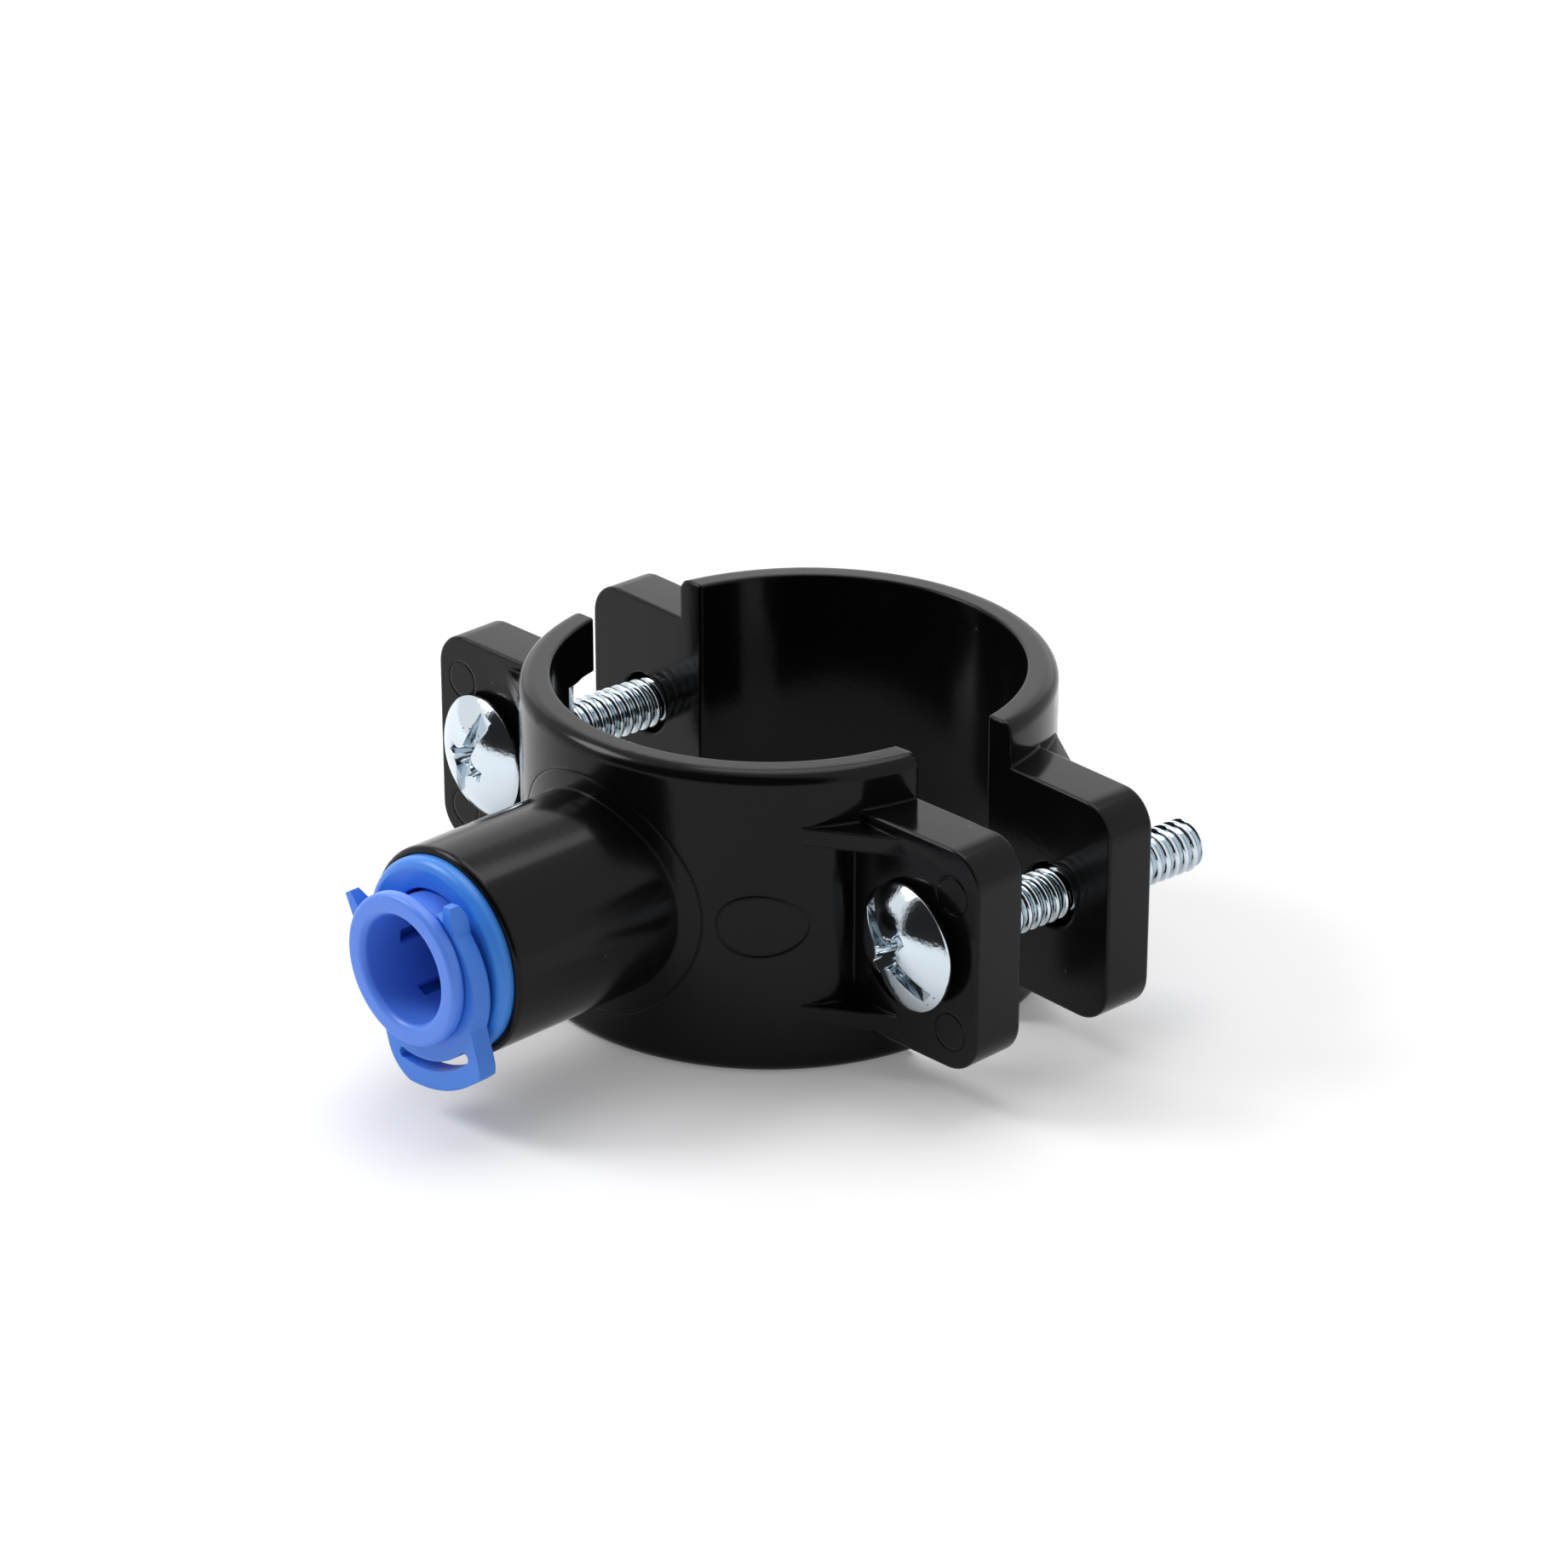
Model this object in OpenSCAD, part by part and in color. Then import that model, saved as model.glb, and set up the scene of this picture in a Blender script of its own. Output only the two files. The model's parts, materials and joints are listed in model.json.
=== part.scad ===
// Drain pipe clamp: two moulded half shells are drawn together round a waste
// pipe by two machine screws with captive nuts. The front shell carries a spigot
// with a push-in collet that takes a small flexible tube.
// The pipe lies along Z, the spigot points along -Y, and the ears reach out
// along X. The pipe axis of the front shell is the Z axis, and z = 0 is the end
// of the ring that the clamp stands on.

/* [Pipe ring] */
// Bore of the ring, the outside diameter of the waste pipe with its slack
bore_d = 38.4; // [36:0.1:42]
// Wall thickness of both shells
wall = 2.8; // [2.4:0.1:4]
// Length of the ring along the pipe
ring_h = 28.5; // [26:0.5:34]
// Rounding of the ring's outer rims
rim_round = 1.3; // [0.3:0.1:1.4]
// Distance from the bore axis to the split face of the front shell
front_split = 3.5; // [2.5:0.1:5]
// Distance from the bore axis to the split face of the rear shell
rear_split = 3.8; // [2.5:0.1:5]
// Height of the relief that is cut into the front shell's inner ends
relief_h = 18; // [10:0.5:19]
// Depth of that relief along the bore wall, measured from the split face
relief_run = 4.4; // [2:0.1:5]

/* [Ears] */
// Distance from the bore axis to the outer end of an ear
ear_reach = 33.9; // [33:0.1:38]
// Height of an ear along the pipe
ear_h = 20.5; // [18:0.5:24]
// Thickness of the front shell's ears
front_ear_t = 5.4; // [4.5:0.1:7]
// Thickness of the rear shell's ears
rear_ear_t = 5.1; // [4.5:0.1:7]
// Radius of an ear's outer corners
ear_corner = 3.3; // [1:0.1:5]
// Distance from an ear's outer end to the axis of its screw hole
screw_inset = 7.1; // [6:0.1:7.4]
// Diameter of the screw holes in the ears
hole_d = 5.8; // [5.7:0.1:6.4]

/* [Ribs] */
// Thickness of the gusset ribs between shell and ear
rib_t = 1.6; // [1:0.1:2.4]
// Clear height between the two ribs of an ear
rib_gap = 15.2; // [13:0.1:16]
// Distance from the bore axis to a rib's end on the ear
rib_reach = 24.8; // [23:0.1:26]
// Distance from an ear's face to a rib's end on the shell
rib_rise = 4.6; // [3:0.1:6]
// Distance from the bore axis to the flat beside the screw head
flat_x = 19.4; // [19.3:0.1:20]

/* [Moulding marks] */
// Diameter of the ejector pin rings on the ears
ear_mark_d = 3.3; // [2:0.1:4]
// Diameter of the ejector pin rings on the shell
shell_mark_d = 5.6; // [4:0.1:7]
// Width and depth of the line round an ejector pin
mark_line = 0.12; // [0.08:0.01:0.2]

/* [Spigot] */
// Outside diameter of the spigot
spigot_d = 18.7; // [18.4:0.1:21]
// Distance from the bore axis to the spigot's end
spigot_reach = 38.2; // [36:0.1:46]
// Rounding of the spigot's end
spigot_round = 0.5; // [0.1:0.1:0.6]
// Diameter of the drain hole into the pipe
drain_d = 6.8; // [4:0.1:8]
// Distance from the spigot's end to the floor of the tube seal's bore
seal_depth = 10.2; // [9.5:0.1:11]

/* [Push-in collet] */
// Outside diameter of the tube
tube_d = 9.53; // [9.4:0.01:9.6]
// Slack between the tube and the bores that guide it, on the radius
tube_slack = 0.07; // [0.05:0.01:0.15]
// Outside diameter of the retaining cap
cap_d = 17.4; // [16.8:0.1:17.5]
// Length of the cap that sits in the spigot
cap_seat = 5.2; // [5:0.1:6]
// Length of the cap that stands proud of the spigot
cap_proud = 1.3; // [0.8:0.1:2]
// Outside diameter of the collet's neck
neck_d = 11.3; // [11.1:0.1:11.4]
// Outside diameter of the collet's flange
flange_d = 13.6; // [13:0.1:15]
// Thickness of the collet's flange
flange_t = 1.4; // [1:0.1:2]
// Outside diameter of the collet's gripping heads
grip_d = 13.2; // [12.8:0.1:13.4]
// Number of legs of the collet
leg_count = 6; // [4:1:6]
// Width of a slot between two legs
leg_slot = 1.1; // [0.8:0.1:1.2]
// Section diameter of the tube seal
seal_section = 2.4; // [2.2:0.1:2.6]
// Thickness of the pipe gasket
gasket_t = 1.2; // [0.8:0.1:1.4]
// Outside diameter of the pipe gasket
gasket_d = 17; // [14:0.5:17.5]

/* [Locking clip] */
// Thickness of the clip
clip_t = 1.8; // [1.4:0.1:2.2]
// Gap between the clip and the cap, which is the collet's play
clip_play = 0.45; // [0.4:0.05:0.8]
// Radius of the clip's outer edge round the neck
clip_r = 7.4; // [6.8:0.1:8]
// Distance from the neck's axis to the end of the clip's handle
clip_handle = 11.1; // [10.8:0.1:12]
// Half the width of the clip's handle
handle_half = 5.8; // [5.2:0.1:7]
// Turn of the clip about the neck, as it was left
clip_turn = 17; // [0:0.5:30]

/* [Screws and nuts] */
// Major diameter of the machine screws
screw_d = 4.83; // [4.5:0.01:5]
// Length of a screw under its head
screw_len = 31.75; // [28:0.25:38]
// Diameter of the truss head
screw_head_d = 11.4; // [10:0.1:12]
// Height of the truss head
screw_head_h = 2.6; // [2:0.1:3.2]
// Width of the long slot in the head
slot_w = 1.5; // [1:0.1:1.8]
// Width across the flats of the hexagon nuts
nut_af = 9.5; // [8.5:0.1:10]
// Thickness of the nuts
nut_t = 3.2; // [2.8:0.1:4]
// Depth of the nut pocket in the rear ears
pocket_depth = 2; // [1.5:0.1:2.5]
// Turn of the left screw's slot from the X axis
left_slot_turn = 69; // [-90:1:90]
// Turn of the right screw's slot from the X axis
right_slot_turn = -40; // [-90:1:90]

/* [Loose fit as photographed] */
// Opening of the rear shell, from bore axis to bore axis
rear_open = 3.5; // [3.2:0.1:5]
// Sideways slack of the rear shell
rear_shift = 1.2; // [0.4:0.1:1.2]
// Turn of the rear shell about the pipe, seen from above
rear_yaw = 2.6; // [1.6:0.1:3]

/* [Hidden] */
$fn = 96;

// Slack on the radius of a thread, between pieces that seat, and round the collet
thread_slack = 0.08;
seat_slack = 0.05;
collet_slack = 0.3;
pocket_slack = 0.35;
// Overrun of a cutter past the face that it opens, and past an edge that it chamfers
over = 1;
nick = 0.1;
// Depth that a piece of a moulding runs into the ring's wall
root_sink = 0.4;

bore_r = bore_d / 2;
outer_r = bore_r + wall;
mid_z = ring_h / 2;
screw_x = ear_reach - screw_inset;
tube_r = tube_d / 2 + tube_slack;
spigot_r = spigot_d / 2;
screw_r = screw_d / 2;
screw_head_r = screw_head_d / 2;
nut_corner_r = nut_af / 2 / cos(30);
nut_chamfer = 0.4;

// Ribs stand on both sides of the screw, and the flat lies between them
front_ear_face = front_split + front_ear_t;
rear_ear_face = rear_split + rear_ear_t;
rib_low = mid_z - rib_gap / 2 - rib_t;

// Ejector pins: beside the ear's outer corners, and beside the spigot
ear_mark_x = ear_reach - 3.1;
ear_mark_low = 3.5 - ear_h / 2;
ear_mark_high = ear_h / 2 - 4.2;
shell_mark_x = 15;
insert_line_r = spigot_r + 1.65;

// The screws stand parallel, and lean so that each passes both of its holes
front_hole_y = front_split + front_ear_t / 2;
rear_hole_y = rear_split + (rear_ear_t - pocket_depth) / 2;
lean_run = rear_open + rear_hole_y * cos(rear_yaw) + front_hole_y;
lean_side = rear_shift + rear_hole_y * sin(rear_yaw);
screw_lean = atan(lean_side / lean_run);
// From the middle of the front hole to the underside of the head
head_seat = front_ear_t / 2 / cos(screw_lean) + screw_head_r * tan(screw_lean) + seat_slack;
head_edge = 0.5;
slot_depth = 1.5;
slot_len = 0.87 * screw_head_d;
cross_len = 0.47 * screw_head_d;
// The nut sits on the pocket's floor by one corner
nut_lift = nut_corner_r * tan(abs(screw_lean - rear_yaw)) + seat_slack;

// Stations along the spigot, measured from the bore axis
tube_stop = outer_r + over;
seal_floor = spigot_reach - seal_depth;
cap_floor = spigot_reach - cap_seat;
cap_face = spigot_reach + cap_proud;
clip_back = cap_face + clip_play;
clip_front = clip_back + clip_t;
flange_back = clip_front + seat_slack;
flange_face = flange_back + flange_t;
flange_round = 0.45;
mouth_round = 0.4;

// Radii round the spigot's axis
cap_r = cap_d / 2;
cap_round = 0.9;
cap_dish = 0.35;
neck_r = neck_d / 2;
cap_hole_r = neck_r + collet_slack;
grip_r = grip_d / 2;
cap_inner_r = grip_r + collet_slack;
flange_r = flange_d / 2;
seal_squeeze = 0.25;
seal_mid_r = tube_d / 2 + seal_section / 2 - seal_squeeze;
seal_bore_r = seal_mid_r + seal_section / 2 + seat_slack;

// Collet legs: the gripping heads end just short of the seal's side of the cap
leg_end = cap_floor + clip_play + collet_slack;
grip_land = 0.8;
grip_taper = 1.6;
slot_end = cap_face - 0.7;
leg_step = 360 / leg_count;
tooth_bite = 0.1;
tooth_root = 0.5;
tooth_t = 0.7;
tooth_arc = 0.5 * leg_step;

// Clip: horns that spread it over the neck, and a slot that lets it flex
clip_neck_r = neck_r + thread_slack;
clip_drop = 1;
horn_in = 4.7;
horn_x = 5.6;
horn_low = 2.6;
horn_base = 1.8;
horn_tip = 0.8;
horn_thin = 0.9;
horn_len = 2.9;
long_horn = 3.8;
horn_flare = 16;
handle_corner = 2.6;
soft_corner = 4;
flex_slot_r = flange_r + 2.15;
flex_slot_w = 0.9;
flex_slot_arc = 54;
flex_slot_end = 0.5;

// Half of the height of the pipe's chord at a distance from its axis
function chord(r, y) = sqrt(r * r - y * y);

// Distance along a screw from its front hole to the floor of its nut pocket
function pocket_run(side) =
    let (
        deep = rear_ear_face - pocket_depth,
        x = rear_shift + side * screw_x * cos(rear_yaw) + deep * sin(rear_yaw) - side * screw_x,
        y = rear_open - side * screw_x * sin(rear_yaw) + deep * cos(rear_yaw) + front_hole_y
    )
    (x * sin(rear_yaw) + y * cos(rear_yaw)) / cos(screw_lean - rear_yaw);

// Section of the ring wall, with its outer rims rounded
module ring_section() {
    translate([bore_r, 0]) square([wall - rim_round, ring_h]);
    translate([bore_r, rim_round]) square([wall, ring_h - 2 * rim_round]);
    for (z = [rim_round, ring_h - rim_round]) {
        translate([outer_r - rim_round, z]) circle(rim_round);
    }
}

// Half of the ring on the +Y side of a split face
module half_ring(split) {
    intersection() {
        rotate_extrude() ring_section();
        translate([-outer_r - over, split, -over]) cube([2 * (outer_r + over), outer_r, ring_h + 2 * over]);
    }
}

// Ear as seen along the screw, from inside the ring wall to its rounded corners
module ear_outline() {
    root = bore_r + root_sink;
    reach = ear_reach - root;
    translate([root, -ear_h / 2]) square([reach - ear_corner, ear_h]);
    translate([root, ear_corner - ear_h / 2]) square([reach, ear_h - 2 * ear_corner]);
    for (z = [-1, 1]) {
        translate([ear_reach - ear_corner, z * (ear_h / 2 - ear_corner)]) circle(ear_corner);
    }
}

// Ear plate between the split face and the ear's face, on the +X and +Y side
module ear(split, thickness) {
    translate([0, split + thickness, mid_z]) rotate([90, 0, 0]) linear_extrude(thickness) ear_outline();
}

// Pair of gussets that brace an ear from its face to the shell, on the +X and +Y side
module ribs(face) {
    shell_y = face + rib_rise;
    for (z = [rib_low, mid_z + rib_gap / 2]) {
        translate([0, 0, z]) linear_extrude(rib_t) polygon([
            [bore_r + root_sink, face - over],
            [rib_reach, face - over],
            [rib_reach, face],
            [chord(outer_r, shell_y) - nick, shell_y],
            [chord(bore_r + wall / 2, shell_y), shell_y - over]
        ]);
    }
}

// Straight hole along Y through a pair of ears
module screw_hole(face) {
    translate([screw_x, -over, mid_z]) rotate([-90, 0, 0]) cylinder(r = hole_d / 2, h = face + 2 * over);
}

// Everything that both shells share, with the split face towards -Y
module shell_body(split, thickness) {
    difference() {
        union() {
            half_ring(split);
            for (side = [0, 1]) {
                mirror([side, 0, 0]) {
                    ear(split, thickness);
                    ribs(split + thickness);
                }
            }
        }
        for (side = [0, 1]) {
            mirror([side, 0, 0]) screw_hole(split + thickness);
        }
    }
}

// Revolved shape whose profile gives radius and station along the spigot
module round_spigot() {
    translate([0, 0, mid_z]) rotate([90, 0, 0]) rotate_extrude() children();
}

// Plain cylinder along the spigot between two stations
module spigot_rod(r, from, to) {
    translate([0, -from, mid_z]) rotate([90, 0, 0]) cylinder(r = r, h = to - from);
}

// Shallow ring line in a flat or curved face, as left by a pin or an insert
module ring_line(r, from, to) {
    difference() {
        spigot_rod(r + mark_line, from, to);
        spigot_rod(r, from - over, to + over);
    }
}

// Cuts that are made in the front shell before the bores: relief, flat and pin lines
module front_side_cuts() {
    relief_y = front_split + relief_run;
    relief_x = chord(bore_r, relief_y);
    translate([0, 0, mid_z - relief_h / 2]) linear_extrude(relief_h) polygon([
        [relief_x, -relief_y],
        [chord(outer_r, front_split), -front_split],
        [chord(outer_r, front_split), over - front_split],
        [relief_x - wall, over - front_split],
        [relief_x - wall, -relief_y]
    ]);
    translate([flat_x, -front_ear_face - outer_r, mid_z - rib_gap / 2]) cube([wall, outer_r, rib_gap]);
    for (z = [ear_mark_low, ear_mark_high]) {
        translate([ear_mark_x, 0, z]) {
            ring_line(ear_mark_d / 2, front_ear_face - mark_line, front_ear_face + over);
        }
    }
    intersection() {
        translate([shell_mark_x, 0, 0]) ring_line(shell_mark_d / 2, bore_r / 2, outer_r + over);
        difference() {
            cylinder(r = outer_r + over, h = ring_h);
            cylinder(r = outer_r - mark_line, h = ring_h);
        }
    }
}

// Line of the mould insert round the spigot's root
module insert_line() {
    intersection() {
        ring_line(insert_line_r, bore_r / 2, outer_r + over);
        difference() {
            cylinder(r = outer_r + over, h = ring_h);
            cylinder(r = outer_r - mark_line, h = ring_h);
        }
    }
}

// Spigot as a solid, from inside the ring wall to its rounded end
module spigot_solid() {
    root = chord(bore_r, spigot_r);
    round_spigot() {
        translate([0, root]) square([spigot_r - spigot_round, spigot_reach - root]);
        translate([0, root]) square([spigot_r, spigot_reach - spigot_round - root]);
        translate([spigot_r - spigot_round, spigot_reach - spigot_round]) circle(spigot_round);
    }
}

// Stepped bore of the spigot: drain hole, tube stop, seal bore and cap seat
module spigot_bores() {
    spigot_rod(drain_d / 2, 0, tube_stop + over);
    spigot_rod(tube_r, tube_stop, spigot_reach);
    spigot_rod(seal_bore_r, seal_floor, spigot_reach);
    spigot_rod(cap_r + seat_slack, cap_floor, spigot_reach + over);
}

// Recess for the pipe gasket, or the gasket itself without slack
module gasket_pad(slack) {
    intersection() {
        spigot_rod(gasket_d / 2 + slack, bore_r / 2, outer_r);
        difference() {
            cylinder(r = bore_r + gasket_t + slack, h = ring_h);
            translate([0, 0, -over]) cylinder(r = bore_r, h = ring_h + 2 * over);
        }
    }
}

module front_shell() {
    color([0.06, 0.06, 0.065]) difference() {
        union() {
            mirror([0, 1, 0]) shell_body(front_split, front_ear_t);
            spigot_solid();
        }
        translate([0, 0, -over]) cylinder(r = bore_r, h = ring_h + 2 * over);
        for (side = [0, 1]) {
            mirror([side, 0, 0]) front_side_cuts();
        }
        insert_line();
        spigot_bores();
        gasket_pad(seat_slack);
    }
}

// Places what belongs to the rear half: opened, slipped sideways and turned
module rear_place() {
    translate([rear_shift, rear_open, 0]) rotate([0, 0, -rear_yaw]) children();
}

module rear_shell() {
    pocket_r = nut_corner_r + pocket_slack / cos(30);
    color([0.06, 0.06, 0.065]) rear_place() difference() {
        shell_body(rear_split, rear_ear_t);
        for (side = [-1, 1]) {
            translate([side * screw_x, rear_ear_face - pocket_depth, mid_z]) {
                rotate([-90, 30, 0]) cylinder(r = pocket_r, h = pocket_depth + over, $fn = 6);
            }
        }
    }
}

// Places what belongs to one screw: its axis along Z, from the middle of the front hole
module screw_place(side) {
    translate([side * screw_x, -front_hole_y, mid_z]) rotate([0, 0, -screw_lean]) rotate([-90, 0, 0]) children();
}

// Truss head with a long driver slot and a short cross, turned as seen from the front
module screw_head(turn) {
    dome = screw_head_h - head_edge;
    dome_r = (screw_head_r * screw_head_r + dome * dome) / (2 * dome);
    difference() {
        intersection() {
            translate([0, 0, -screw_head_h]) cylinder(r = screw_head_r, h = screw_head_h);
            translate([0, 0, dome_r - screw_head_h]) sphere(dome_r);
        }
        translate([0, 0, slot_depth - screw_head_h]) rotate(-turn) {
            for (arm = [[slot_len, slot_w], [slot_w, cross_len]]) {
                translate([-arm[0] / 2, -arm[1] / 2, -screw_head_h]) cube([arm[0], arm[1], screw_head_h]);
            }
        }
    }
}

module screw(side, turn) {
    color([0.78, 0.8, 0.83]) screw_place(side) translate([0, 0, -head_seat]) {
        screw_head(turn);
        cylinder(r = screw_r, h = screw_len - nut_chamfer);
        translate([0, 0, screw_len - nut_chamfer]) {
            cylinder(r1 = screw_r, r2 = screw_r - nut_chamfer, h = nut_chamfer);
        }
    }
}

module nut(side) {
    color([0.74, 0.76, 0.8]) screw_place(side) translate([0, 0, pocket_run(side) + nut_lift]) difference() {
        intersection() {
            rotate(30) cylinder(r = nut_corner_r, h = nut_t, $fn = 6);
            union() {
                cylinder(r = nut_corner_r, h = nut_t - nut_chamfer);
                translate([0, 0, nut_t - nut_chamfer]) {
                    cylinder(r1 = nut_corner_r, r2 = nut_af / 2, h = nut_chamfer);
                }
            }
        }
        translate([0, 0, -over]) cylinder(r = screw_r + thread_slack, h = nut_t + 2 * over);
    }
}

module screw_left() {
    screw(-1, left_slot_turn);
}

module screw_right() {
    screw(1, right_slot_turn);
}

module nut_left() {
    nut(-1);
}

module nut_right() {
    nut(1);
}

// Cap that keeps the collet in: round nose, dished face and an inner cone for the legs
module collet_cap() {
    cone_front = leg_end + grip_land + grip_taper + collet_slack;
    back = cap_floor + seat_slack;
    color([0.16, 0.42, 0.86]) round_spigot() difference() {
        union() {
            translate([0, back]) square([cap_r, cap_face - cap_round - back]);
            translate([0, back]) square([cap_r - cap_round, cap_face - back]);
            translate([cap_r - cap_round, cap_face - cap_round]) circle(cap_round);
        }
        polygon([
            [0, back - over],
            [cap_inner_r, back - over],
            [cap_inner_r, cone_front - grip_taper],
            [cap_hole_r, cone_front],
            [cap_hole_r, cap_face - cap_dish],
            [cap_r - cap_round, cap_face],
            [cap_r - cap_round, cap_face + over],
            [0, cap_face + over]
        ]);
    }
}

// Profile of the collet: flange with soft edges, neck and conical gripping heads
module collet_section() {
    flange_mid = flange_r - flange_round;
    difference() {
        union() {
            translate([0, leg_end]) square([neck_r, flange_face - leg_end]);
            translate([0, flange_back]) square([flange_mid, flange_t]);
            translate([0, flange_back + flange_round]) square([flange_r, flange_t - 2 * flange_round]);
            for (s = [flange_back + flange_round, flange_face - flange_round]) {
                translate([flange_mid, s]) circle(flange_round);
            }
            polygon([
                [0, leg_end],
                [grip_r, leg_end],
                [grip_r, leg_end + grip_land],
                [neck_r, leg_end + grip_land + grip_taper],
                [0, leg_end + grip_land + grip_taper]
            ]);
        }
        translate([0, leg_end - over]) square([tube_r, flange_face - leg_end + 2 * over]);
        polygon([
            [tube_r - nick, flange_face + nick],
            [tube_r + mouth_round + nick, flange_face + nick],
            [tube_r - nick, flange_face - mouth_round - nick]
        ]);
    }
}

// Barbs that bite into the tube, one in the head of each leg
module tooth_rows() {
    root = leg_end + grip_land;
    translate([0, 0, mid_z]) rotate([90, 0, 0]) for (leg = [0 : leg_count - 1]) {
        rotate((leg + 0.5) * leg_step - tooth_arc / 2) rotate_extrude(angle = tooth_arc) polygon([
            [tube_d / 2 - tooth_bite, root - tooth_t / 2],
            [tube_r + tooth_root, root],
            [tube_r + tooth_root, root + tooth_t]
        ]);
    }
}

module collet() {
    color([0.25, 0.45, 0.93]) difference() {
        round_spigot() collet_section();
        translate([0, 0, mid_z]) rotate([90, 0, 0]) for (leg = [0 : leg_count - 1]) {
            rotate(leg * leg_step) translate([tube_r / 2, -leg_slot / 2, leg_end - over]) {
                cube([grip_r, leg_slot, slot_end - leg_end + over]);
            }
        }
        tooth_rows();
    }
}

module grip_teeth() {
    color([0.8, 0.8, 0.82]) tooth_rows();
}

module tube_seal() {
    color([0.08, 0.08, 0.08]) round_spigot() {
        translate([seal_mid_r, seal_floor + seal_section / 2 + seat_slack]) circle(seal_section / 2);
    }
}

// Clip as seen along the tube: a ring with a gap, two horns and a handle
module clip_outline() {
    difference() {
        union() {
            difference() {
                translate([0, -clip_drop]) circle(clip_r);
                translate([-horn_in, 0]) square([2 * horn_in, 2 * clip_r]);
            }
            intersection() {
                union() {
                    handle_side(handle_corner);
                    mirror([1, 0]) handle_side(soft_corner);
                }
                translate([0, clip_drop]) circle(clip_handle + clip_drop);
            }
            horn(-1, long_horn);
            horn(1, horn_len);
        }
        circle(clip_neck_r);
        flex_slot();
    }
}

// One of the two horns that end the ring, tapered and leaning outwards
module horn(side, reach) {
    translate([side * horn_x, horn_low]) rotate(-side * horn_flare) polygon([
        [-horn_base / 2, 0],
        [horn_base / 2, 0],
        [horn_tip / 2, reach],
        [-horn_tip / 2, reach]
    ]);
}

// Half of the handle below the ring, with one rounded corner
module handle_side(corner) {
    translate([-over, corner - clip_handle]) square([handle_half + over, clip_handle - clip_r / 2]);
    translate([-over, -clip_handle]) square([handle_half - corner + over, clip_handle - clip_r / 2]);
    translate([handle_half - corner, corner - clip_handle]) circle(corner);
}

// Curved slot in the handle, just outside the collet's flange
module flex_slot() {
    reach = 2 * clip_handle;
    rotate(-90) intersection() {
        difference() {
            circle(flex_slot_r + flex_slot_w / 2);
            circle(flex_slot_r - flex_slot_w / 2);
        }
        polygon([
            [0, 0],
            [reach, -reach * tan(flex_slot_arc / 2)],
            [reach, reach * tan(flex_slot_arc / 2)]
        ]);
    }
    for (side = [-1, 1]) {
        rotate(side * flex_slot_arc / 2 - 90) translate([flex_slot_r, 0]) circle(flex_slot_end);
    }
}

// Slope on the back of a horn, which lets it slip in behind the flange
module horn_slope(side, reach) {
    tip = horn_low + reach;
    translate([side * 2 * horn_x, 0]) rotate([90, 0, 90]) linear_extrude(4 * horn_x, center = true) polygon([
        [horn_low, -horn_thin],
        [tip + over, -horn_thin],
        [tip + over, horn_thin],
        [tip, horn_thin]
    ]);
}

module locking_clip() {
    color([0.22, 0.44, 0.88]) translate([0, -clip_back, mid_z]) rotate([90, 0, 0]) {
        rotate(clip_turn) difference() {
            linear_extrude(clip_t) clip_outline();
            horn_slope(-1, long_horn);
            horn_slope(1, horn_len);
        }
    }
}

module saddle_gasket() {
    color([0.12, 0.12, 0.12]) difference() {
        gasket_pad(0);
        spigot_rod(drain_d / 2, 0, outer_r + over);
    }
}

front_shell();
rear_shell();
screw_left();
screw_right();
nut_left();
nut_right();
collet_cap();
collet();
grip_teeth();
tube_seal();
locking_clip();
saddle_gasket();
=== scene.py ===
"""Looks of a drain pipe clamp: moulded half shells, zinc plated screws and a push-in tube collet.

Lengths are given in millimetres and turned into metres where a mesh or a node needs them.
"""

from __future__ import annotations

import json
import logging
import math
from collections.abc import Callable
from dataclasses import dataclass
from enum import Enum

import bpy
from mathutils import Matrix, Vector
from mathutils.kdtree import KDTree


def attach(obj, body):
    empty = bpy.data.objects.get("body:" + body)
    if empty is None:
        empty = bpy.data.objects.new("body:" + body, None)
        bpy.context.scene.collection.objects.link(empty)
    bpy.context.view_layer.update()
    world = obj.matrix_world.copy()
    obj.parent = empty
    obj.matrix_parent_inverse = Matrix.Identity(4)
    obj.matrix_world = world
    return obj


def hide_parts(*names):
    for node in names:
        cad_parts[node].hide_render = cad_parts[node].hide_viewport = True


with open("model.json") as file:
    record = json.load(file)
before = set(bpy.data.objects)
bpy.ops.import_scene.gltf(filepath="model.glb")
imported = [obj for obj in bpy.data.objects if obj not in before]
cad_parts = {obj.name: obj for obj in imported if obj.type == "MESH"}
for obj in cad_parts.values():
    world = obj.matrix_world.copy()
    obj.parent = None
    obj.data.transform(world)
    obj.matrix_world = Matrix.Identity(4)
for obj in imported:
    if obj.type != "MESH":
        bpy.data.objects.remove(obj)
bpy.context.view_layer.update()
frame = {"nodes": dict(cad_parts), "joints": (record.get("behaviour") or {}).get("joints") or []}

LOG = logging.getLogger("drain_pipe_clamp")
MM = 0.001
INCH = 25.4
# Vertices closer than this, in millimetres, are one vertex.
MERGE_DISTANCE = 0.002
CUT_TOLERANCE = 0.0001
# How far a cutter stands past what it cuts, in millimetres.
OVERSHOOT = 1.0
# A face looks along an axis when its normal's share of that axis is above this.
FACING = 0.9
ROUND_SEGMENTS = 2

# A Mix node's sockets for colours, by number, because those for plain numbers have the same names.
MIX_FACTOR, MIX_FIRST, MIX_SECOND, MIX_RESULT = 0, 6, 7, 2
# How much larger than its specks a finish's broad noise and cells are, and how much lower its bump is.
BROAD_RATIO = 40
CELL_RATIO = 3
BUMP_RATIO = 6
BROAD_DETAIL = 3.0
FINE_DETAIL = 4.0
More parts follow.
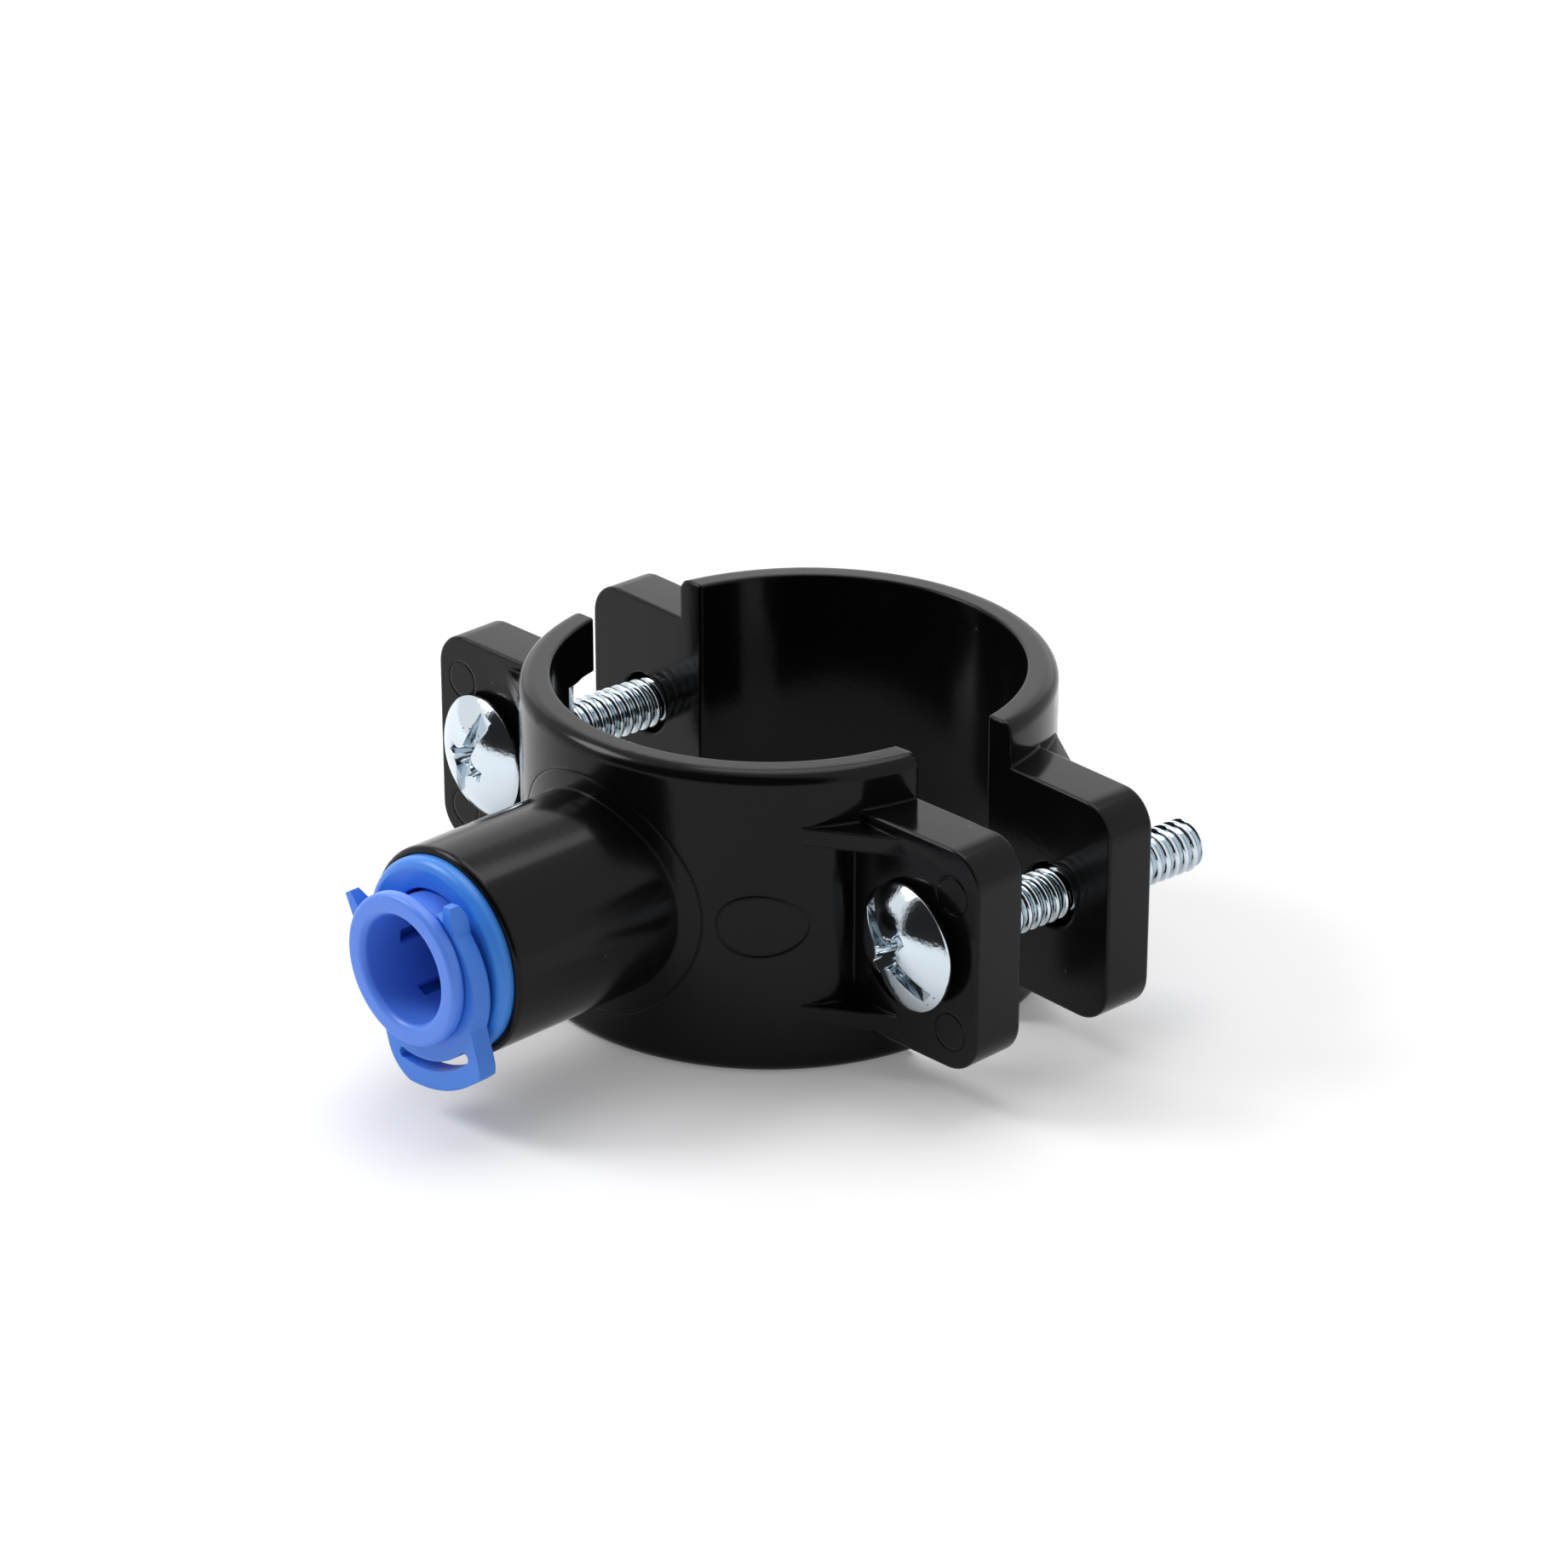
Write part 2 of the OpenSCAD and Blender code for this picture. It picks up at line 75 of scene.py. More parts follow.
# The part of its range that a noise texture nearly always stays in.
NOISE_SPAN = (0.3, 0.7)
# How far a speck reaches from the middle of its cell, as a share of the cell.
SPECK_REACH = 0.1
EDGE_SAMPLES = 6
# How far red, green and blue light travel in the blue plastic, as shares of the depth in millimetres.
BLUE_SCATTER = (0.3, 0.6, 1.0)
SCATTER_DEPTH = 1.2
WHITE = (1, 1, 1, 1)


class Side(Enum):
    """The two ears of the clamp, as the frame's names call them."""

    LEFT = "left"
    RIGHT = "right"


class Grain(Enum):
    """How a finish breaks up its surface: the share of its cells with a speck, and its bump's stretch."""

    MOULDED = (0.12, (1.0, 1.0, 1.0))
    PLATED = (0.25, (1.0, 0.45, 1.0))
    RUBBER = (0.3, (1.0, 1.0, 1.0))

    @property
    def speck_share(self) -> float:
        """The share of the cells that hold a speck."""
        return self.value[0]

    @property
    def stretch(self) -> tuple[float, float, float]:
        """How much closer the bump lies along each axis."""
        return self.value[1]


def millimetres(value: float) -> float:
    """Turn a length in millimetres into scene units."""
    return value * MM


def deselect_all() -> None:
    """Leave nothing selected, so that an operator acts only on what follows."""
    if bpy.context.object and bpy.context.object.mode != "OBJECT":
        bpy.ops.object.mode_set(mode="OBJECT")
    bpy.ops.object.select_all(action="DESELECT")


def make_active(piece: bpy.types.Object) -> None:
    """Select one piece alone and make it the active one.

    Args:
        piece: The object that the next operators act on.
    """
    deselect_all()
    piece.select_set(True)
    bpy.context.view_layer.objects.active = piece


def open_mesh(piece: bpy.types.Object) -> None:
    """Open a piece in edit mode with its whole mesh selected.

    Args:
        piece: The object to edit.
    """
    make_active(piece)
    bpy.ops.object.mode_set(mode="EDIT")
    bpy.ops.mesh.select_mode(type="VERT")
    bpy.ops.mesh.select_all(action="SELECT")


def open_faces(piece: bpy.types.Object, wanted: Callable[[bpy.types.MeshPolygon], bool]) -> None:
    """Open a piece in edit mode with some of its faces selected.

    Args:
        piece: The object to edit.
        wanted: Tells whether a face is to be selected.
    """
    open_mesh(piece)
    bpy.ops.mesh.select_mode(type="FACE")
    bpy.ops.mesh.select_all(action="DESELECT")
    bpy.ops.object.mode_set(mode="OBJECT")
    for face in piece.data.polygons:
        face.select = wanted(face)
    bpy.ops.object.mode_set(mode="EDIT")


def open_edges(piece: bpy.types.Object, wanted: Callable[[bpy.types.MeshEdge], bool]) -> None:
    """Open a piece in edit mode with some of its edges selected.

    Args:
        piece: The object to edit.
        wanted: Tells whether an edge is to be selected.
    """
    open_mesh(piece)
    bpy.ops.mesh.select_mode(type="EDGE")
    bpy.ops.mesh.select_all(action="DESELECT")
    bpy.ops.object.mode_set(mode="OBJECT")
    for edge in piece.data.edges:
        edge.select = wanted(edge)
    bpy.ops.object.mode_set(mode="EDIT")


def apply_modifier(piece: bpy.types.Object, kind: str, **settings: object) -> None:
    """Add a modifier to a piece, set it up and apply it.

    Args:
        piece: The object to change.
        kind: The modifier's type, such as BEVEL.
        **settings: The modifier's properties.
    """
    make_active(piece)
    modifier = piece.modifiers.new(kind.title(), kind)
    for name, value in settings.items():
        setattr(modifier, name, value)
    bpy.ops.object.modifier_apply(modifier=modifier.name)


def cut_with(piece: bpy.types.Object, cutter: bpy.types.Object, operation: str) -> None:
    """Combine a piece with a cutter, and throw the cutter away.

    Args:
        piece: The object that stays.
        cutter: The object that cuts it, joins it or limits it.
        operation: DIFFERENCE, UNION or INTERSECT.
    """
    apply_modifier(piece, "BOOLEAN", object=cutter, operation=operation, solver="EXACT")
    bpy.data.objects.remove(cutter)


def trace(name: str, points: list[tuple[float, float, float]]) -> bpy.types.Object:
    """Draw a chain of edges by extruding one vertex from point to point.

    Args:
        name: The new object's name.
        points: The chain's points, in millimetres.

    Returns:
        The chain, left in edit mode with everything selected.
    """
    deselect_all()
    bpy.ops.mesh.primitive_plane_add(size=MM)
    chain = bpy.context.object
    chain.name = name
    bpy.ops.object.mode_set(mode="EDIT")
    bpy.ops.mesh.select_mode(type="VERT")
    bpy.ops.mesh.select_all(action="SELECT")
    bpy.ops.mesh.merge(type="CENTER")
    bpy.ops.transform.translate(value=tuple(millimetres(c) for c in points[0]))
    for start, end in zip(points, points[1:]):
        move = tuple(millimetres(b - a) for a, b in zip(start, end))
        bpy.ops.mesh.extrude_region_move(TRANSFORM_OT_translate={"value": move})
    bpy.ops.mesh.select_all(action="SELECT")
    return chain


def close_up() -> None:
    """Merge the doubled vertices of the mesh in edit mode, turn its faces outwards and leave edit mode."""
    bpy.ops.mesh.select_all(action="SELECT")
    bpy.ops.mesh.remove_doubles(threshold=millimetres(MERGE_DISTANCE))
    bpy.ops.mesh.normals_make_consistent(inside=False)
    bpy.ops.object.mode_set(mode="OBJECT")


def place(piece: bpy.types.Object, matrix: Matrix) -> None:
    """Move a piece's mesh to its place and leave its object at the origin.

    Args:
        piece: The object, modelled in its own frame.
        matrix: The place of that frame in the row frame.
    """
    make_active(piece)
    piece.matrix_world = matrix
    bpy.ops.object.transform_apply(location=True, rotation=True, scale=True)


def smooth(piece: bpy.types.Object, degrees: float) -> None:
    """Shade a piece smooth, apart from edges sharper than an angle.

    Args:
        piece: The object to shade.
        degrees: The angle between faces above which an edge stays sharp.
    """
    make_active(piece)
    bpy.ops.object.shade_smooth_by_angle(angle=math.radians(degrees))


@dataclass
class NodeSheet:
    """The nodes of one material or of the surroundings, with short ways to add them."""

    tree: bpy.types.NodeTree

    def feed(self, node: bpy.types.Node, inputs: dict[str | int, object]) -> None:
        """Give a node its inputs.

        Args:
            node: The node.
            inputs: What each input gets, by name or number: a socket is linked, and a plain value is set.
        """
        for key, value in inputs.items():
            if isinstance(value, bpy.types.NodeSocket):
                self.tree.links.new(value, node.inputs[key])
            else:
                node.inputs[key].default_value = value

    def add(self, kind: str, inputs: dict[str | int, object], **properties: object) -> bpy.types.Node:
        """Add a node.

        Args:
            kind: The node's type, without ShaderNode before it.
            inputs: What its inputs get, as feed takes it.
            **properties: The node's own properties, such as its operation.

        Returns:
            The node.
        """
        node = self.tree.nodes.new(f"ShaderNode{kind}")
        for name, value in properties.items():
            setattr(node, name, value)
        self.feed(node, inputs)
        return node

    def calculate(self, operation: str, first: object, second: object) -> bpy.types.NodeSocket:
        """Add a calculation with two values.

        Args:
            operation: What it does, such as MAXIMUM.
            first: A socket or a number.
            second: A socket or a number.

        Returns:
            The socket with its result.
        """
        return self.add("Math", {0: first, 1: second}, operation=operation).outputs["Value"]

    def remap(
        self, value: bpy.types.NodeSocket, span: tuple[float, float], levels: tuple[float, float],
    ) -> bpy.types.NodeSocket:
        """Stretch a span of a value to other levels, and hold it at them outside the span.

        Args:
            value: The value.
            span: Its low and high end.
            levels: What these two become.

        Returns:
            The socket with the stretched value.
        """
        inputs = {
            "Value": value,
            "From Min": span[0], "From Max": span[1],
            "To Min": levels[0], "To Max": levels[1],
        }
        return self.add("MapRange", inputs).outputs["Result"]

    def mix_colours(self, share: bpy.types.NodeSocket, first: object, second: object) -> bpy.types.NodeSocket:
        """Mix two colours.

        Args:
            share: The second one's share.
            first: A socket, or a colour with its alpha.
            second: A socket, or a colour with its alpha.

        Returns:
            The socket with the mixed colour.
        """
        inputs = {MIX_FACTOR: share, MIX_FIRST: first, MIX_SECOND: second}
        return self.add("Mix", inputs, data_type="RGBA").outputs[MIX_RESULT]


@dataclass(frozen=True)
class Finish:
    """A procedural surface finish that reads Object coordinates.

    A broad noise shifts its colour and gloss, a fine one roughens its height, and small specks lie
    scattered on it.
    """

    name: str
    colour: tuple[float, float, float]
    tint: tuple[float, float, float]
    grain: Grain
    roughness: float
    roughness_spread: float
    speck_size: float
    speck_colour: tuple[float, float, float]
    bump: float
    edge_radius: float = 0.0
    metallic: float = 0.0
    ior: float = 1.5
    subsurface: float = 0.0

    @property
    def speck_scale(self) -> float:
        """The texture scale at which a pattern repeats once in a speck's size."""
        return 1 / millimetres(self.speck_size)

    def colouring(
        self, sheet: NodeSheet, spot: bpy.types.NodeSocket, broad: bpy.types.NodeSocket,
    ) -> bpy.types.NodeSocket:
        """Shift the colour with the broad noise and scatter the specks on it.

        Args:
            sheet: The material's nodes.
            spot: The coordinates that the textures read.
            broad: The broad noise.

        Returns:
            The socket with the colour.
        """
        cells = sheet.add("TexVoronoi", {"Vector": spot, "Scale": self.speck_scale / CELL_RATIO})
        chosen = sheet.calculate("LESS_THAN", cells.outputs["Color"], self.grain.speck_share)
        middle = sheet.calculate("LESS_THAN", cells.outputs["Distance"], SPECK_REACH)
        speck = sheet.calculate("MULTIPLY", middle, chosen)
        blend = sheet.mix_colours(broad, (*self.colour, 1), (*self.tint, 1))
        return sheet.mix_colours(speck, blend, (*self.speck_colour, 1))

    def relief(self, sheet: NodeSheet, spot: bpy.types.NodeSocket) -> bpy.types.NodeSocket:
        """Roughen the surface with a fine noise, and round its edges where the finish says so.

        Args:
            sheet: The material's nodes.
            spot: The coordinates that the noise reads.

        Returns:
            The socket with the normal.
        """
        stretched = sheet.add("Mapping", {"Vector": spot, "Scale": self.grain.stretch}).outputs["Vector"]
        fine = sheet.add("TexNoise", {"Vector": stretched, "Scale": self.speck_scale, "Detail": FINE_DETAIL})
        inputs = {
            "Height": fine.outputs["Fac"],
            "Strength": self.bump,
            "Distance": millimetres(self.speck_size) / BUMP_RATIO,
        }
        if self.edge_radius:
            rounding = sheet.add("Bevel", {"Radius": millimetres(self.edge_radius)}, samples=EDGE_SAMPLES)
            inputs["Normal"] = rounding.outputs["Normal"]
        return sheet.add("Bump", inputs).outputs["Normal"]

    def material(self) -> bpy.types.Material:
        """Build the node material of this finish, once.

        Returns:
            The material, shared by every piece that asks for it.
        """
        found = bpy.data.materials.get(self.name)
        if found:
            return found
        made = bpy.data.materials.new(self.name)
        made.use_nodes = True
        sheet = NodeSheet(made.node_tree)
        shader = sheet.tree.nodes["Principled BSDF"]
        spot = sheet.add("TexCoord", {}).outputs["Object"]
        broad = sheet.add(
            "TexNoise", {"Vector": spot, "Scale": self.speck_scale / BROAD_RATIO, "Detail": BROAD_DETAIL},
        ).outputs["Fac"]
        gloss = (self.roughness - self.roughness_spread, self.roughness + self.roughness_spread)
        sheet.feed(shader, {
            "Base Color": self.colouring(sheet, spot, broad),
            "Metallic": self.metallic,
            "Roughness": sheet.remap(broad, NOISE_SPAN, gloss),
            "IOR": self.ior,
            "Normal": self.relief(sheet, spot),
        })
        if self.subsurface:
            sheet.feed(shader, {
                "Subsurface Weight": self.subsurface,
                "Subsurface Radius": BLUE_SCATTER,
                "Subsurface Scale": millimetres(SCATTER_DEPTH),
            })
        return made

    def dress(self, piece: bpy.types.Object) -> None:
        """Give a piece this finish on all its faces."""
        piece.data.materials.clear()
        piece.data.materials.append(self.material())


BLACK_MOULDING = Finish(
    name="black_moulding", colour=(0.003, 0.0028, 0.0027), tint=(0.0045, 0.004, 0.0038), grain=Grain.MOULDED,
    roughness=0.15, roughness_spread=0.04, speck_size=0.5, speck_colour=(0.05, 0.048, 0.045), bump=0.05,
    edge_radius=0.35, ior=1.26,
)
BLUE_CAP = Finish(
    name="blue_cap_moulding", colour=(0.03, 0.23, 0.76), tint=(0.04, 0.255, 0.81), grain=Grain.MOULDED,
    roughness=0.34, roughness_spread=0.05, speck_size=0.4, speck_colour=(0.08, 0.3, 0.84), bump=0.08,
    edge_radius=0.2, subsurface=0.25,
)
BLUE_COLLET = Finish(
    name="blue_collet_moulding", colour=(0.085, 0.24, 0.85), tint=(0.105, 0.275, 0.91), grain=Grain.MOULDED,
    roughness=0.36, roughness_spread=0.05, speck_size=0.4, speck_colour=(0.14, 0.32, 0.92), bump=0.08,
    edge_radius=0.2, subsurface=0.25,
)
BLUE_CLIP = Finish(
    name="blue_clip_moulding", colour=(0.045, 0.215, 0.78), tint=(0.06, 0.25, 0.83), grain=Grain.MOULDED,
    roughness=0.38, roughness_spread=0.05, speck_size=0.4, speck_colour=(0.1, 0.3, 0.88), bump=0.08,
    edge_radius=0.2, subsurface=0.25,
)
ZINC_PLATE = Finish(
    name="bright_zinc_plate", colour=(0.56, 0.65, 0.72), tint=(0.7, 0.76, 0.8), grain=Grain.PLATED,
    roughness=0.11, roughness_spread=0.04, speck_size=0.3, speck_colour=(0.1, 0.11, 0.13), bump=0.3,
    edge_radius=0.05, metallic=1.0,
)
STAINLESS = Finish(
    name="stamped_stainless", colour=(0.6, 0.6, 0.6), tint=(0.66, 0.66, 0.65), grain=Grain.PLATED,
    roughness=0.25, roughness_spread=0.05, speck_size=0.2, speck_colour=(0.4, 0.4, 0.39), bump=0.1,
    metallic=1.0,
)
RUBBER = Finish(
    name="matt_rubber", colour=(0.02, 0.02, 0.02), tint=(0.03, 0.03, 0.03), grain=Grain.RUBBER,
    roughness=0.7, roughness_spread=0.08, speck_size=0.3, speck_colour=(0.06, 0.06, 0.058), bump=0.3,
)


@dataclass
class MachineScrew:
    """A truss head machine screw with a rolled thread and a combination recess.

    Its recess stays turned recess_turn degrees, as it was left. Of one pitch, the thread's root takes
    root_share and its rounded crest takes crest_share and falls by crest_fall to each side. The shank
    reaches head_bite into the head.
    """

    side: Side
    recess_turn: float
    major_d: float = 4.83
    threads_per_inch: float = 24
    thread_depth: float = 0.58
    crest_share: float = 0.56
    crest_fall: float = 0.16
    crest_steps: int = 6
    root_share: float = 0.14
    turn_steps: int = 40
    spare_turns: int = 2
    length: float = 31.75
    head_bite: float = 0.3
    tip_play: float = 0.02
    tip_sides: int = 64
    tip_chamfer: float = 0.5
    head_d: float = 11.4
    head_h: float = 2.6
    head_edge: float = 0.5
    rim_in: float = 0.25
    rim_up: float = 0.18
    dome_steps: int = 14
    head_steps: int = 72
    slot_w: float = 1.15
    slot_flare: float = 1.25
    slot_len: float = 9.9
    slot_depth: float = 1.5
    cross_w: float = 1.3
    cross_len: float = 5.6
    cross_corner: float = 1.35
    corner_steps: int = 6
    cross_depth: float = 2.1
    cross_lift: float = 0.5
    cross_taper: float = 0.55
    edge_soft: float = 0.06
    soften_angle: float = 35
    smooth_angle: float = 32

    @property
    def node(self) -> str:
        """The frame's name of this screw."""
        return f"screw_{self.side.value}"

    def axis_frame(self) -> Matrix:
        """Find the screw's own frame: its head's underside at the origin, its shank along +Z.

        Returns:
            The place of that frame in the row frame.
        """
        joint = next(j for j in frame["joints"] if j["child"] == self.node)
        axis = Vector(joint["axis"]).normalized()
        on_axis = Vector(joint["pos_m"])
        stations = [(v.co - on_axis).dot(axis) for v in frame["nodes"][self.node].data.vertices]
        seat = on_axis + axis * (max(stations) - millimetres(self.length))
        across = Vector((0, 0, 1)).cross(axis).normalized()
        turn = Matrix((across, axis.cross(across), axis)).transposed().to_4x4()
        return Matrix.Translation(seat) @ turn

    def thread(self) -> bpy.types.Object:
        """Model the threaded shank: one pitch of profile, screwed up and cut to length.

        Returns:
            The shank, closed at both ends.
        """
        pitch = INCH / self.threads_per_inch
        crest = self.major_d / 2
        root = crest - self.thread_depth
        middle = (1 + self.root_share) / 2
        corners = [(root, 0.0), (root, self.root_share)]
        for step in range(self.crest_steps + 1):
            across = 2 * step / self.crest_steps - 1
            radius = crest - self.crest_fall * across * across
            corners.append((radius, middle + across * self.crest_share / 2))
        corners.append((root, 1.0))
        profile = [(r, 0.0, (share - self.spare_turns) * pitch) for r, share in corners]
        shank = trace(f"thread_{self.side.value}", profile)
        bpy.ops.object.mode_set(mode="OBJECT")
        apply_modifier(
            shank, "SCREW", angle=math.tau, screw_offset=millimetres(pitch),
            iterations=math.ceil(self.length / pitch) + 2 * self.spare_turns,
            steps=self.turn_steps, render_steps=self.turn_steps,
            use_merge_vertices=True, merge_threshold=millimetres(MERGE_DISTANCE),
        )
        open_mesh(shank)
        close_up()
        self.trim(shank, -self.head_bite, keep_above=True)
        self.trim(shank, self.length, keep_above=False)
        open_mesh(shank)
        close_up()
        return shank

    def trim(self, piece: bpy.types.Object, height: float, keep_above: bool) -> None:
        """Cut a piece square across its axis and close the cut.

        Args:
            piece: The object to cut.
            height: Where the cut lies along the axis.
            keep_above: Whether the part above the cut stays.
        """
        open_mesh(piece)
        bpy.ops.mesh.bisect(
            plane_co=(0, 0, millimetres(height)), plane_no=(0, 0, 1), use_fill=True,
            clear_inner=keep_above, clear_outer=not keep_above, threshold=millimetres(CUT_TOLERANCE),
        )
        bpy.ops.object.mode_set(mode="OBJECT")

    def tip_limit(self) -> bpy.types.Object:
        """Model the outline that the tip is turned down to.

        Returns:
            A cylinder with a chamfered far end, as long as the shank.
        """
        near = -self.head_bite - OVERSHOOT
        deselect_all()
        bpy.ops.mesh.primitive_cylinder_add(
            vertices=self.tip_sides, radius=millimetres(self.major_d / 2 + self.tip_play),
            depth=millimetres(self.length - near),
            location=(0, 0, millimetres((self.length + near) / 2)),
        )
        limit = bpy.context.object
        bpy.ops.object.transform_apply(location=True)
        open_faces(limit, lambda face: face.normal.z > FACING)
        bpy.ops.mesh.bevel(offset=millimetres(self.tip_chamfer), segments=ROUND_SEGMENTS)
        bpy.ops.object.mode_set(mode="OBJECT")
        return limit

    def head(self) -> bpy.types.Object:
        """Model the truss head: its dome's section spun round, and the recess cut in.

        Returns:
            The head, with its underside at z = 0 and its crown at -Z.
        """
        radius = self.head_d / 2
        dome = self.head_h - self.head_edge
        dome_r = (radius * radius + dome * dome) / (2 * dome)
        arc = math.asin(radius / dome_r)
        section = [
            (0.0, 0.0, 0.0),
            (radius - self.rim_in, 0.0, 0.0),
            (radius, 0.0, -self.rim_up),
            (radius, 0.0, -self.head_edge),
        ]
        for step in range(1, self.dome_steps + 1):
            angle = arc * (1 - step / self.dome_steps)
            section.append((dome_r * math.sin(angle), 0.0, dome_r * (1 - math.cos(angle)) - self.head_h))
        head = trace(f"head_{self.side.value}", section)
        bpy.ops.mesh.spin(steps=self.head_steps, angle=math.tau, center=(0, 0, 0), axis=(0, 0, 1))
        close_up()
        for cutter in (self.slot_cutter(), self.cross_cutter()):
            cut_with(head, cutter, "DIFFERENCE")
        apply_modifier(
            head, "BEVEL", width=millimetres(self.edge_soft), segments=ROUND_SEGMENTS, limit_method="ANGLE",
            angle_limit=math.radians(self.soften_angle), use_clamp_overlap=True,
        )
        return head

    def turned(self, cutter: bpy.types.Object) -> bpy.types.Object:
        """Turn a cutter about the axis to where the screw was left.

        Args:
            cutter: The object that cuts part of the recess.

        Returns:
            The same object, turned.
        """
        make_active(cutter)
        cutter.rotation_euler = (0, 0, -math.radians(self.recess_turn))
        bpy.ops.object.transform_apply(rotation=True)
        return cutter

    def slot_cutter(self) -> bpy.types.Object:
        """Model the block that cuts the long slot.

        Returns:
            The block, turned to its place.
        """
        top = -self.head_h - OVERSHOOT
        floor = self.slot_depth - self.head_h
        deselect_all()
        bpy.ops.mesh.primitive_cube_add(size=MM)
        block = bpy.context.object
        block.scale = (self.slot_len, self.slot_w, floor - top)
        block.location = (0, 0, millimetres((floor + top) / 2))
        bpy.ops.object.transform_apply(location=True, rotation=True, scale=True)
        open_faces(block, lambda face: abs(face.normal.x) > FACING)
        bpy.ops.transform.resize(value=(1, self.slot_flare, 1), center_override=(0, 0, 0))
        bpy.ops.object.mode_set(mode="OBJECT")
        return self.turned(block)

    def cross_cutter(self) -> bpy.types.Object:
        """Model the cross that narrows with depth, with a hollow corner between each two arms.

        Returns:
            The cross, turned to its place.
        """
        half_w = self.cross_w / 2
        reach = self.cross_len / 2
        bend = self.cross_corner
        top = -self.head_h - self.cross_lift
        corner = [(reach, half_w)]
        for step in range(self.corner_steps + 1):
            angle = math.radians(90 * step / self.corner_steps)
            corner.append((half_w + bend * (1 - math.sin(angle)), half_w + bend * (1 - math.cos(angle))))
        corner.append((half_w, reach))
        outline = []
        for _ in range(4):
            outline.extend((x, y, top) for x, y in corner)
            corner = [(-y, x) for x, y in corner]
        outline.append(outline[0])
        cross = trace(f"cross_{self.side.value}", outline)
        bpy.ops.mesh.remove_doubles(threshold=millimetres(MERGE_DISTANCE))
        bpy.ops.mesh.edge_face_add()
        down = (0, 0, millimetres(self.cross_depth + self.cross_lift))
        bpy.ops.mesh.extrude_region_move(TRANSFORM_OT_translate={"value": down})
        shrink = self.cross_taper
        bpy.ops.transform.resize(value=(shrink, shrink, 1), center_override=(0, 0, 0))
        close_up()
        return self.turned(cross)

    def build(self) -> bpy.types.Object:
        """Model the whole screw and set it in the place of the frame's plain one.

        Returns:
            The finished screw.
        """
        shank = self.thread()
        cut_with(shank, self.tip_limit(), "INTERSECT")
        head = self.head()
        cut_with(head, shank, "UNION")
        head.name = f"{self.node}_threaded"
        head.data.name = head.name
        smooth(head, self.smooth_angle)
        place(head, self.axis_frame())
        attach(head, self.node)
        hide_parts(self.node)
        return head

    def dress(self) -> None:
        """Build the screw, plate it and report it."""
        piece = self.build()
        ZINC_PLATE.dress(piece)
        LOG.info("%s: %d faces", piece.name, len(piece.data.polygons))


